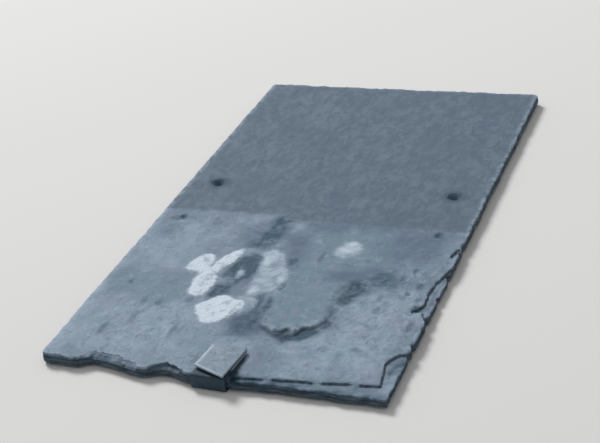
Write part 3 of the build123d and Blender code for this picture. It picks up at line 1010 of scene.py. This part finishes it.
def covered_head(stone, mottle, streaks):
    """Cleaner stone of the head, darker round its nail holes."""
    nodes = stone.nodes
    head = Coats(nodes, stone.shades, "covered")
    head.lay(nodes.rise(streaks, 0.40, 0.62), "covered_light")
    head.lay(nodes.rise(mottle["Broad"], 0.42, 0.66), "covered", 0.6)
    head.lay(nodes.rise(mottle["Patches"], 0.55, 0.68), "violet", 0.6)
    head.lay(nodes.read("nail_stain"), "damp_and_shade", 0.6)
    return head


def lay_worn_edges(stone, mottle):
    """Speckles and pale edges, partly painted highlight, then the seams and rims of what has split off:
    painted shade under the raised patch's rim, a painted highlight on it, and dark seams, partly painted
    shade, along the lost layers.
    """
    nodes = stone.nodes
    middle, speckle = mottle["Middle"], mottle["Speckle"]
    rough = nodes.read("rough")
    stone.lay(nodes.times(nodes.rise(speckle, 0.58, 0.72), rough), "pale", 0.36)
    stone.lay(nodes.times(nodes.rise(speckle, 0.40, 0.30), rough), "damp_and_shade", 0.42)
    # Arrises paled by wear and painted highlight
    stone.lay(nodes.times(nodes.read("arris_wear_and_highlight"), nodes.rise(middle, 0.36, 0.6)), "pale", 0.55)
    # Painted shade under the raised patch's rim
    stone.lay(nodes.read("shade_under_rim"), "seam", 0.6)
    # The patch's light rims and faint crusts in the grey lichen colour: crust and painted highlight
    stone.lay(nodes.times(nodes.read("rim_highlight_and_crust"), nodes.rise(middle, 0.34, 0.6)), "grey_lichen", 0.9)
    # A dark line along the edges of the lost layers: dirt in the seams and painted shade of the steps
    lost = nodes.read("lost_layer")
    seam = nodes.maths("SUBTRACT", nodes.rise(lost, -0.8, -0.1), nodes.rise(lost, 0.4, 1.4))
    stone.lay(seam, "seam", 0.72)


def broken_edge(stone, mottle, layers):
    """Broken stone painted dark as shade, with lighter layers and damp patches."""
    nodes = stone.nodes
    edge = Coats(nodes, stone.shades, "broken_in_shade")
    edge.lay(nodes.rise(layers, 0.40, 0.62), "broken_light")
    edge.lay(nodes.rise(mottle["Middle"], 0.52, 0.66), "damp_and_shade", 0.7)
    return edge


def lay_crusts(stone, mottle, thin, thick):
    """Thin grey lichen, the halo of the thick white lichen, and the white lichen itself."""
    nodes = stone.nodes
    middle = mottle["Middle"]
    grey = Coats(nodes, stone.shades, "grey_lichen")
    grey.lay(nodes.rise(mottle["Patches"], 0.40, 0.56), "pale_lichen")
    grey.lay(nodes.read("bleach_and_highlight"), "white_lichen", 0.6)
    stone.lay(nodes.times(thin["Mask"], nodes.rise(middle, 0.34, 0.54, 0.6, 1.0)), grey)
    stone.lay(thick["Halo"], "grey_lichen", 0.35)
    white = Coats(nodes, stone.shades, "pale_lichen")
    white.lay(nodes.rise(middle, 0.32, 0.51), "white_lichen")
    white.lay(nodes.rise(mottle["Speckle"], 0.62, 0.76), "weathered", 0.22)
    stone.lay(thick["Mask"], white)


def make_slate_material(shades):
    """Weathered stone with stains, crusts, the clean covered head and broken edges; painted shade darkens
    the broken edges, the hollow under the patch's rim and the face beside the clip, and painted highlight
    lightens the arrises, the rims and the left edge.
    """
    material, nodes, shader, vector = new_material("weathered_slate")
    mottle = nodes.group("mottle", {"Vector": vector})
    relief = nodes.group("riven relief", {"Vector": vector})
    thin = {"Distance": nodes.read("grey_lichen"), "Raggedness": 4.5, "Softness": 2.6}
    thin = nodes.group("crust", {"Vector": vector, **thin})
    thick = {"Distance": nodes.read("white_lichen"), "Raggedness": 2.8, "Softness": 1.4}
    thick = nodes.group("crust", {"Vector": vector, **thick})
    layers = nodes.noise(nodes.stretch(vector, (1.0, 1.0, 14.0)), 75.0, 5.0, 0.6, 0.4)
    broken_in_shade = nodes.read("broken_in_shade")
    rough = nodes.read("rough")

    stone = Coats(nodes, shades, "weathered")
    lay_weathering(stone, mottle, relief["Streaks"])
    stone.lay(nodes.read("covered"), covered_head(stone, mottle, relief["Streaks"]))
    lay_worn_edges(stone, mottle)
    stone.lay(broken_in_shade, broken_edge(stone, mottle, layers))
    lay_crusts(stone, mottle, thin, thick)
    nodes.put(shader["Base Color"], stone.result)

    crusts = nodes.maths("MAXIMUM", thin["Mask"], thick["Mask"])
    roughness = nodes.times_plus(crusts, 0.2, nodes.rise(mottle["Middle"], 0.3, 0.7, 0.58, 0.76))
    nodes.put(shader["Roughness"], nodes.times_plus(nodes.read("damp_and_shade"), -0.1, roughness))
    nodes.put(shader["Specular IOR Level"], 0.14)

    height = nodes.times(relief["Height"], nodes.times_plus(rough, 0.00020, 0.00020))
    for grain, metres in (
        (nodes.times(mottle["Speckle"], rough), 0.00020),
        (nodes.times(layers, broken_in_shade), 0.00090),
        (thick["Grain"], 0.00035),
        (thin["Grain"], 0.00014),
        (thick["Mask"], 0.00020),
    ):
        height = nodes.times_plus(grain, metres, height)
    nodes.put(shader["Normal"], nodes.bump(height, 0.95))
    return material


def make_strip_material(shades):
    """Dull weathered sheet metal with a bloom of oxide, bright edges and fold that are worn and painted
    highlight, and dirt with painted shade under the folded leaf at its bend.
    """
    material, nodes, shader, vector = new_material("weathered_strip")
    mottle = nodes.group("mottle", {"Vector": vector, "Size": 1.5})
    middle = mottle["Middle"]
    patchy = nodes.maths("SUBTRACT", middle, 0.5)
    # Bright edges: wear and painted glints
    edge = nodes.times_plus(patchy, 0.9, nodes.read("strip_wear_and_glint"))
    # Dark under the folded leaf: dirt and painted shade
    grime_and_shade = nodes.times_plus(patchy, 0.6, nodes.read("grime_and_shade"))
    metal = Coats(nodes, shades, "metal")
    metal.lay(nodes.rise(mottle["Patches"], 0.40, 0.62), "oxide")
    metal.lay(nodes.rise(middle, 0.52, 0.7), "metal_dark", 0.6)
    metal.lay(nodes.rise(mottle["Speckle"], 0.6, 0.72), "oxide", 0.5)
    metal.lay(nodes.rise(edge, 0.2, 0.9), "metal_wear_and_glint", 0.85)
    metal.lay(nodes.rise(grime_and_shade, 0.1, 0.9), "grime_and_shade", 0.95)
    nodes.put(shader["Base Color"], metal.result)
    nodes.put(shader["Roughness"], nodes.rise(middle, 0.3, 0.7, 0.5, 0.7))
    nodes.put(shader["Specular IOR Level"], 0.3)
    nodes.put(shader["Metallic"], 0.2)
    drawn = nodes.noise(nodes.stretch(vector, (1.0, 0.08, 0.3)), 900.0, 4.0, 0.6)
    height = nodes.times_plus(drawn, 0.00005, nodes.times(middle, 0.00018))
    nodes.put(shader["Normal"], nodes.bump(height, 0.8))
    return material


def length_size(label, words, default):
    """A length that a user may change, shown in the scene's units."""
    return FloatProperty(name=label, description=words, default=default, min=0.0, unit="LENGTH")


def share_size(label, words, default):
    """A plain factor that a user may change."""
    return FloatProperty(name=label, description=words, default=default, min=0.0)


def shade(label, words, default):
    """A linear colour that a user may change."""
    return FloatVectorProperty(
        name=label, description=words, default=default, size=3, min=0.0, max=1.0, subtype="COLOR"
    )


class SlateSizes(PropertyGroup):
    """Sizes of the stone's finish"""

    riven_height: share_size("Riven height", "How strongly the split face is raised", 1.0)
    edge_raggedness: share_size("Ragged edges", "How far breaks draw in the outline", 1.0)
    dressing_width: length_size("Dressing width", "Width of the spalled bevel", DRESSING_WIDTH * MM)
    layer_step_depth: length_size("Layer step", "Depth of the lost upper layer", 1.6 * MM)
    scallop_depth: length_size("Scallop", "Depth of the scallop under the raised patch", 1.2 * MM)
    flake_depth: length_size("Side flake", "Depth of the flake lost at the right side", 2.4 * MM)


class SlateShades(PropertyGroup):
    """Colours of the stone and of what grows on it"""

    weathered: shade("Weathered", "Main colour of the face", (0.209, 0.277, 0.361))
    bleached: shade("Bleached", "Lighter areas of the face", (0.293, 0.381, 0.480))
    # Also the painted highlight along the arrises
    pale: shade("Pale", "Pale mottles and worn edges", (0.376, 0.473, 0.576))
    violet: shade("Violet grey", "Darker mottles and streaks", (0.116, 0.166, 0.239))
    green_grey: shade("Green grey", "Smooth greenish patch", (0.173, 0.256, 0.325))
    green_cast: shade("Green cast", "Slightly greener patches", (0.207, 0.305, 0.345))
    violet_cast: shade("Violet cast", "Slightly redder patches", (0.262, 0.287, 0.375))
    # Dark stains, also used for painted shade under the patch's rim and on the chipped bevels
    damp_and_shade: shade("Damp", "Dark stains", (0.040, 0.088, 0.137))
    covered: shade("Covered", "Head that the next course covers", (0.115, 0.160, 0.215))
    covered_light: shade("Covered light", "Lighter streaks of the head", (0.156, 0.207, 0.269))
    # Painted shade of the broken edges
    broken_in_shade: shade("Broken", "Broken edges", (0.038, 0.056, 0.076))
    broken_light: shade("Broken light", "Lighter layers in the edges", (0.128, 0.172, 0.218))
    # Dirt along split layers, also painted shade under the patch's rim and along the steps
    seam: shade("Seam", "Dirt along split layers", (0.012, 0.030, 0.046))
    # Also the colour of the clip's painted shadow and of the painted shadow under the patch's rim
    soot_and_shadow: shade("Soot", "Darkest stains", (0.008, 0.034, 0.056))
    white_lichen: shade("White lichen", "Thick crusts", (0.662, 0.757, 0.849))
    pale_lichen: shade("Pale lichen", "Thinner parts of the crusts", (0.422, 0.513, 0.603))
    # Also the painted highlight on the patch's rims
    grey_lichen: shade("Grey lichen", "Thin crusts", (0.287, 0.366, 0.450))


class StripShades(PropertyGroup):
    """Colours of the metal strip"""

    metal: shade("Metal", "Dull face of the strip", (0.182, 0.236, 0.300))
    metal_dark: shade("Dark metal", "Stained metal", (0.110, 0.145, 0.180))
    oxide: shade("Oxide", "Pale bloom", (0.240, 0.304, 0.376))
    # Worn edges and painted glints
    metal_wear_and_glint: shade("Edge", "Worn edges", (0.380, 0.452, 0.522))
    # Also painted shade under the folded leaf
    grime_and_shade: shade("Grime", "Dirt at the bend", (0.024, 0.052, 0.080))


class StageSizes(PropertyGroup):
    """Camera, lamps and floor"""

    focal: FloatProperty(
        name="Focal length", description="Camera lens in millimetres", default=97.0, min=1.0
    )
    roll: FloatProperty(
        name="Roll", description="Lean of the camera", default=math.radians(5.7), subtype="ANGLE"
    )
    key_strength: share_size("Key", "Power of the main lamp in watts", 380.0)
    fill_strength: share_size("Fill", "Strength of the surrounding light", 0.38)
    floor: shade("Floor", "Colour of the floor", (0.80, 0.80, 0.79))


def slate_shell(size):
    """Points of the stone, each with its depth down the edge, and faces: face, edge, bed and holes."""
    across, up = slate_spacing()
    rim, inward = slate_rim(across, up)
    walls = slate_walls(rim, inward, size)
    top = coons(walls[0][:, :2], up, across)
    height = face_height(top[..., 0], top[..., 1], size)[..., None]
    top = np.concatenate([top, height, height * 0.0], axis=-1)
    top[rim_cells(0, ROWS, 0, COLUMNS)] = walls[0]
    border = walls[-1][:, :2] + inward * BED_BORDER
    under = coons(border[::COARSE_STEP], up[::COARSE_STEP], across[::COARSE_STEP])
    bed = bed_height(under[..., 0], under[..., 1])[..., None]
    under = np.concatenate([under, bed, bed * 0.0 + 1.0], axis=-1)
    holes = [nail_hole(hole_x, top, size) for hole_x in (NAIL_INSET, WIDTH - NAIL_INSET)]
    return closed_shell(top, walls[1:], under, COARSE_STEP, holes)


class SLATE_OT_make_slate(Operator):
    """Make the riven stone with its broken tail and nail holes"""

    bl_idname = "slate_tile.make_slate"
    bl_label = "Make slate"

    def execute(self, context):
        points, polygons = slate_shell(context.scene.slate_sizes)
        piece = add_piece("riven_slate", points, polygons, 38.0)
        paint(piece.data, slate_masks(points))
        piece.data.materials.append(make_slate_material(context.scene.slate_shades))
        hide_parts("slate")
        return {"FINISHED"}


def strip_path():
    """Points along the middle of the strip's thickness, seen from the side, with round bends."""
    half = STRIP_THICKNESS / 2
    over = THICKNESS + half
    pitch = STRIP_THICKNESS + STRIP_FOLD_GAP
    corners = [
        (STRIP_BACK, -half, 0.0),
        (STRIP_WEB, -half, 0.6 + half),
        (STRIP_WEB, over, 0.6 + half),
        (STRIP_FOLD, over, pitch / 2 * 0.96),
        (STRIP_FOLD, over + pitch, pitch / 2 * 0.96),
        (STRIP_TIP, over + pitch + STRIP_LIFT, 0.0),
    ]
    points = [np.array(corners[0][:2])]
    for before, here, after in zip(corners, corners[1:], corners[2:]):
        corner = np.array(here[:2])
        back = np.array(before[:2]) - corner
        ahead = np.array(after[:2]) - corner
        back /= np.linalg.norm(back)
        ahead /= np.linalg.norm(ahead)
        half_angle = math.acos(float(np.clip(back @ ahead, -1.0, 1.0))) / 2
        reach = here[2] / math.tan(half_angle)
        middle = corner + (back + ahead) / np.linalg.norm(back + ahead) * here[2] / math.sin(half_angle)
        first = corner + back * reach - middle
        last = corner + ahead * reach - middle
        start = math.atan2(first[1], first[0])
        turn = (math.atan2(last[1], last[0]) - start + math.pi) % (2 * math.pi) - math.pi
        angles = start + turn * np.linspace(0.0, 1.0, 9)
        points.append(middle + here[2] * np.stack([np.cos(angles), np.sin(angles)], axis=-1))
    points.append(np.array(corners[-1][:2]))
    return np.vstack(points)


def even_path(path, spacing):
    """The same path with extra points on its long runs."""
    pieces = []
    for start, end in zip(path[:-1], path[1:]):
        count = max(1, int(round(np.linalg.norm(end - start) / spacing)))
        pieces.append(start + (end - start) * np.arange(count)[:, None] / count)
    pieces.append(path[-1:])
    return np.vstack(pieces)


def snip_line(across):
    """Where the strip's slanted free end lies along it, at a distance across it from its middle."""
    slant = (STRIP_END_RIGHT - STRIP_END_LEFT) * across / STRIP_WIDTH
    return (STRIP_END_LEFT + STRIP_END_RIGHT) / 2 + slant


# Grid of the strip: cells across, their length along it, and how far its edges are rolled
STRIP_COLUMNS = 20
STRIP_SPACING = 1.4
STRIP_ROLL = 0.3


def strip_sheet(path):
    """The middle of the strip's thickness before it is turned: the path carried straight across.

    The leaf that is folded back is drawn along its length until it ends at the snip line, and
    what lies on the face sinks a little with its waves.
    """
    x = np.linspace(-0.5, 0.5, STRIP_COLUMNS + 1) * STRIP_WIDTH
    y = np.repeat(path[:, :1], STRIP_COLUMNS + 1, axis=1)
    z = np.repeat(path[:, 1:], STRIP_COLUMNS + 1, axis=1)
    turned_back = path[:, 1] > THICKNESS + STRIP_THICKNESS + STRIP_FOLD_GAP
    leaf = np.arange(len(path)) >= np.argmax(turned_back & (path[:, 0] < STRIP_FOLD - 1.0))
    start_y, start_z = path[leaf][0]
    drawn = (start_y - snip_line(x)) / (start_y - STRIP_TIP)
    y[leaf] = start_y - (start_y - y[leaf]) * drawn
    z[leaf] = start_z + (z[leaf] - start_z) * drawn
    over_face = (path[:, 1] > THICKNESS)[:, None]
    x = np.repeat(x[None, :], len(path), axis=0)
    z = z - (0.12 + 0.12 * cloud(x, y, 17.0, 2, 201)) * over_face
    return np.stack([x, y, z], axis=-1)


def strip_shell():
    """Points and faces of the strip before it is turned: two skins, rolled edges and a nail hole."""
    path = even_path(strip_path(), STRIP_SPACING)
    along = np.gradient(path, axis=0)
    along /= np.linalg.norm(along, axis=1, keepdims=True)
    normal = np.stack([along[:, 1], -along[:, 0]], axis=-1)
    sheet = strip_sheet(path)
    half = STRIP_THICKNESS / 2

    def skin(side, inset):
        """The sheet moved along its normals, with its four edges drawn in."""
        points = sheet.copy()
        points[..., 1:] += normal[:, None] * side
        points[:, 0, 0] += inset
        points[:, -1, 0] -= inset
        points[0, :, 1] -= inset
        points[-1, :, 1] += inset
        return points

    near = skin(half, STRIP_ROLL)
    far = skin(-half, STRIP_ROLL)
    rim = rim_cells(0, len(path) - 1, 0, STRIP_COLUMNS)
    levels = ((half - 0.1, 0.08), (half - STRIP_ROLL, 0.0), (STRIP_ROLL - half, 0.0), (0.1 - half, 0.08))
    walls = np.stack([skin(side, inset)[rim] for side, inset in levels])
    row = int(np.argmax(path[:, 0] < STRIP_NAIL))
    block = (row - 4, row + 4, STRIP_COLUMNS // 2 - 4, STRIP_COLUMNS // 2 + 4)
    circle = ring_round(np.array([0.0, STRIP_NAIL]), near[rim_cells(*block)][:, :2], NAIL_RADIUS)
    rings = [np.column_stack([circle, circle[:, 0] * 0.0 + level]) for level in (0.0, -STRIP_THICKNESS)]
    points, polygons = closed_shell(near, walls, far, 1, [(block, np.stack(rings))])
    return points, [face[::-1] for face in polygons]


def strip_masks(points):
    """What the metal's material reads at each point: bright edges and fold, worn and painted highlight, and
    dirt with painted shade under the folded leaf.
    """
    across, run, level = points.T
    on_leaf = level > THICKNESS + STRIP_THICKNESS
    # The fold's top counts as an edge too, for its painted highlight
    to_end = np.minimum(run - snip_line(across), STRIP_FOLD + 2.0 - run)
    to_edge = np.minimum(STRIP_WIDTH / 2 - np.abs(across), np.where(on_leaf, to_end, np.inf))
    to_edge = to_edge + 0.08 * (across + STRIP_WIDTH / 2)
    under_leaf = 1.0 - ease(STRIP_THICKNESS + 0.1, STRIP_THICKNESS + 0.4, level - THICKNESS)
    return {
        "strip_wear_and_glint": 1.0 - ease(0.0, 5.0, to_edge),
        # Dark under the folded leaf and down the web: painted shade with dirt
        "grime_and_shade": under_leaf * (1.0 - ease(12.0, 18.0, run)),
    }


def turned_strip(points):
    """The strip's points on the slate, turned about its middle at the tail: undoes strip_place()."""
    across, run, level = points.T
    run = run - STRIP_MIDDLE[1]
    x = STRIP_MIDDLE[0] + across * math.cos(STRIP_TURN) + run * math.sin(STRIP_TURN)
    y = STRIP_MIDDLE[1] - across * math.sin(STRIP_TURN) + run * math.cos(STRIP_TURN)
    return np.column_stack([x, y, level])


class SLATE_OT_make_tail_clip(Operator):
    """Make the folded metal strip that hooks round the tail"""

    bl_idname = "slate_tile.make_tail_clip"
    bl_label = "Make tail clip"

    def execute(self, context):
        points, polygons = strip_shell()
        piece = add_piece("folded_strip", turned_strip(points), polygons, 50.0)
        paint(piece.data, strip_masks(points))
        piece.data.materials.append(make_strip_material(context.scene.strip_shades))
        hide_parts("tail_clip")
        return {"FINISHED"}


# Where the camera stands and what it aims at, in the slate's terms. Then the main lamp's
# direction from the frame's origin, and in metres its distance, its size and the floor's reach.
CAMERA_PLACE = (521.5, -822.0, 567.0)
CAMERA_AIM = (118.0, 232.0, 8.0)
KEY_FROM = (-0.66, 0.60, 0.74)
KEY_DISTANCE = 7.0
KEY_SIZE = 2.4
FLOOR_REACH = 6.0


def set_floor(stage):
    """A pale level floor at the height that the part rests on."""
    mesh = bpy.data.meshes.new("floor")
    corners = [(x * FLOOR_REACH, y * FLOOR_REACH, 0) for x, y in ((-1, -1), (1, -1), (1, 1), (-1, 1))]
    mesh.from_pydata(corners, [], [(0, 1, 2, 3)])
    floor = add_object("floor", mesh)
    material = bpy.data.materials.new("pale_floor")
    material.use_nodes = True
    shader = material.node_tree.nodes["Principled BSDF"].inputs
    shader["Base Color"].default_value = colour(stage.floor)
    shader["Roughness"].default_value = 0.9
    shader["Specular IOR Level"].default_value = 0.2
    mesh.materials.append(material)


def set_lamps(scene, stage):
    """A broad lamp from the upper left, and even light all round."""
    world = bpy.data.worlds.new("studio")
    world.use_nodes = True
    background = world.node_tree.nodes["Background"].inputs
    background["Color"].default_value = (1, 1, 1, 1)
    background["Strength"].default_value = stage.fill_strength
    scene.world = world
    lamp = bpy.data.lights.new("key", "AREA")
    lamp.shape = "DISK"
    lamp.size = KEY_SIZE
    lamp.energy = stage.key_strength
    key = add_object("key", lamp)
    toward = Vector(KEY_FROM).normalized()
    key.location = toward * KEY_DISTANCE
    key.rotation_euler = toward.to_track_quat("Z", "Y").to_euler()


def set_camera(scene, stage):
    """A camera that looks down on the tail from the right."""
    view = bpy.data.cameras.new("camera")
    view.lens = stage.focal
    view.sensor_width = 36.0
    camera = add_object("camera", view)
    stand = Vector(place(np.array(CAMERA_PLACE)))
    aim = Vector(place(np.array(CAMERA_AIM)))
    level = (aim - stand).to_track_quat("-Z", "Y").to_matrix().to_4x4()
    lean = Matrix.Rotation(-stage.roll, 4, "Z")
    camera.matrix_world = Matrix.Translation(stand) @ level @ lean
    scene.camera = camera


class SLATE_OT_set_stage(Operator):
    """Set the floor, the lamps and the camera"""

    bl_idname = "slate_tile.set_stage"
    bl_label = "Set stage"

    def execute(self, context):
        stage = context.scene.stage_sizes
        set_floor(stage)
        set_lamps(context.scene, stage)
        set_camera(context.scene, stage)
        context.scene.view_settings.view_transform = "Standard"
        return {"FINISHED"}


class SLATE_PT_tools(Panel):
    """Tools that make the slate, its clip and the stage"""

    bl_label = "Slate"
    bl_idname = "SLATE_PT_tools"
    bl_space_type = "VIEW_3D"
    bl_region_type = "UI"
    bl_category = "Slate"

    def draw(self, context):
        for operator in OPERATORS:
            self.layout.operator(operator.bl_idname)
        for group in SETTINGS:
            box = self.layout.box()
            settings = getattr(context.scene, group)
            for name in settings.__annotations__:
                box.prop(settings, name)


OPERATORS = (SLATE_OT_make_slate, SLATE_OT_make_tail_clip, SLATE_OT_set_stage)
SETTINGS = {
    "slate_sizes": SlateSizes,
    "slate_shades": SlateShades,
    "strip_shades": StripShades,
    "stage_sizes": StageSizes,
}


def register():
    """Tell Blender about the settings, tools and panel."""
    for name, group in SETTINGS.items():
        bpy.utils.register_class(group)
        setattr(bpy.types.Scene, name, PointerProperty(type=group))
    for operator in OPERATORS:
        bpy.utils.register_class(operator)
    bpy.utils.register_class(SLATE_PT_tools)


def unregister():
    """Take the settings, tools and panel away again."""
    bpy.utils.unregister_class(SLATE_PT_tools)
    for operator in reversed(OPERATORS):
        bpy.utils.unregister_class(operator)
    for name, group in reversed(SETTINGS.items()):
        delattr(bpy.types.Scene, name)
        bpy.utils.unregister_class(group)


def main():
    register()
    make_mottle_group()
    make_crust_group()
    make_relief_group()
    bpy.ops.slate_tile.make_slate()
    bpy.ops.slate_tile.make_tail_clip()
    bpy.ops.slate_tile.set_stage()


if __name__ == "__main__":
    main()
